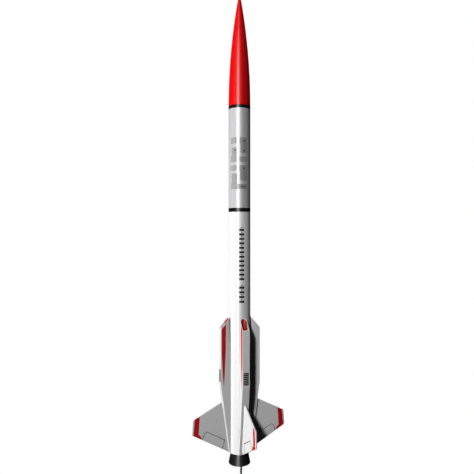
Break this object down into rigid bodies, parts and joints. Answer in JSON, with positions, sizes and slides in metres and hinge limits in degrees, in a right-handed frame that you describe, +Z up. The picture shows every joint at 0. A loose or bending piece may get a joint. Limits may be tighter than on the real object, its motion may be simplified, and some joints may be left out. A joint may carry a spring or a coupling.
{
  "type": "model rocket",
  "caption": "Slender flying model rocket: ogive nose cone that pulls off, two-tone body tube, side air-duct pods with swept fins, flared nozzle, removable motor.",
  "frame": {"origin": "centre of the nozzle shroud's round mouth, in the plane of its rim, where the rocket rests on a pad ring or display stand", "axes": "+Z up the rocket's long axis to the nose tip; the four pods and fins lie along +X, +Y, -X and -Y; the launch lugs lie between +X and +Y"},
  "size_m": [0.153, 0.153, 0.7819],
  "materials": {
    "white_paint": "gloss",
    "silver_paint": "satin",
    "red_plastic": "gloss",
    "red_paint": "satin",
    "black_vinyl": "gloss",
    "black_plastic": "gloss",
    "kraft_card": "matt",
    "fibre_card": "matt",
    "elastic": "woven",
    "tissue": "crumpled",
    "plated_wire": "bright",
    "canopy_film": "film",
    "line_thread": "twisted",
    "casing_paper": "matt",
    "clay": "matt",
    "black_powder": "matt",
    "delay_powder": "matt",
    "plug_plastic": "satin",
    "lead_wire": "enamelled"
  },
  "bodies": {
    "airframe": {"fin_back": "white_paint", "fin_front": "white_paint", "fin_left": "white_paint", "fin_right": "white_paint", "front_centering_ring": "fibre_card", "intake_liner_back": "red_paint", "intake_liner_front": "red_paint", "intake_liner_left": "red_paint", "intake_liner_right": "red_paint", "joint_band": "black_vinyl", "lower_body_tube": "white_paint", "lower_launch_lug": "white_paint", "motor_tube": "kraft_card", "nose_end_band": "black_vinyl", "nozzle_shroud": "black_plastic", "pod_channel_back": "white_paint", "pod_channel_front": "white_paint", "pod_channel_left": "white_paint", "pod_channel_right": "white_paint", "pod_cover_back": "white_paint", "pod_cover_front": "white_paint", "pod_cover_left": "white_paint", "pod_cover_right": "white_paint", "rear_centering_ring": "fibre_card", "shock_cord_coil": "elastic", "shock_cord_mount": "kraft_card", "thrust_ring": "fibre_card", "tube_coupler": "kraft_card", "upper_body_tube": "silver_paint", "upper_launch_lug": "silver_paint", "wadding": "tissue"},
    "nose": {"nose_cone": "red_plastic", "nose_plug": "red_plastic", "snap_swivel": "plated_wire", "parachute": "canopy_film", "shroud_line_wrap": "line_thread", "shroud_line_bridle": "line_thread", "shock_cord_lead": "elastic"},
    "motor": {"motor_casing": "casing_paper", "clay_nozzle": "clay", "propellant_grain": "black_powder", "delay_charge": "delay_powder", "ejection_charge": "black_powder", "motor_end_cap": "clay"},
    "starter": {"starter_plug": "plug_plastic", "starter_tip": "black_powder", "starter_leads": "lead_wire"}
  },
  "joints": [
    {"name": "nose_pull", "type": "slide", "parent": "airframe", "child": "nose", "axis": [0, 0, 1], "range_m": [0, 0.19]},
    {"name": "motor_slide", "type": "slide", "parent": "airframe", "child": "motor", "axis": [0, 0, -1], "range_m": [0, 0.1]},
    {"name": "starter_pull", "type": "slide", "parent": "motor", "child": "starter", "axis": [0, 0, -1], "range_m": [0, 0.03]}
  ]
}
